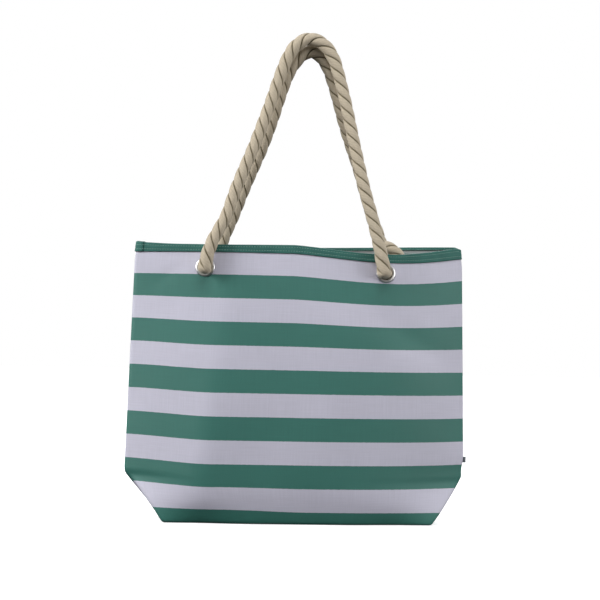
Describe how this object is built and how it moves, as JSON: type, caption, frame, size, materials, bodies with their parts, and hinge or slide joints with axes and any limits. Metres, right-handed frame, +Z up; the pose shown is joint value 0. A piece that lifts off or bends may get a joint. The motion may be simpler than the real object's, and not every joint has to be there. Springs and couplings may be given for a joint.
{
  "type": "beach bag",
  "caption": "Striped canvas beach tote with boxed corners, bound rim, eyelets and swinging twisted rope handles knotted inside.",
  "frame": {"origin": "centre of the base, on the surface that the bag stands on", "axes": "+Z up towards the rim and handles, -Y out of the front panel, +X to the right of someone facing the front"},
  "size_m": [0.4451, 0.108, 0.6341],
  "materials": {
    "canvas": "printed woven canvas, green and white stripes",
    "lining": "plain woven lining",
    "stiffener": "non-woven interfacing",
    "binding": "woven tape, double stitched",
    "label": "blank satin ribbon",
    "rope": "three-strand twisted cotton",
    "eyelet_metal": "nickel plated"
  },
  "bodies": {
    "bag": {"front_panel": "canvas", "rear_panel": "canvas", "front_lining": "lining", "rear_lining": "lining", "front_rim_stiffener": "stiffener", "rear_rim_stiffener": "stiffener", "rim_binding": "binding", "side_label": "label", "front_left_eyelet": "eyelet_metal", "front_right_eyelet": "eyelet_metal", "rear_left_eyelet": "eyelet_metal", "rear_right_eyelet": "eyelet_metal", "front_left_washer": "eyelet_metal", "front_right_washer": "eyelet_metal", "rear_left_washer": "eyelet_metal", "rear_right_washer": "eyelet_metal", "front_left_knot": "rope", "front_right_knot": "rope", "rear_left_knot": "rope", "rear_right_knot": "rope"},
    "front_grip": {"front_handle": "rope"},
    "rear_grip": {"rear_handle": "rope"}
  },
  "joints": [
    {"name": "front_handle_swing", "type": "hinge", "parent": "bag", "child": "front_grip", "pos_m": [0, -0.046, 0.325], "axis": [1, 0, 0], "range_deg": [0, 180]},
    {"name": "rear_handle_swing", "type": "hinge", "parent": "bag", "child": "rear_grip", "pos_m": [0, 0.046, 0.325], "axis": [-1, 0, 0], "range_deg": [0, 180]}
  ]
}
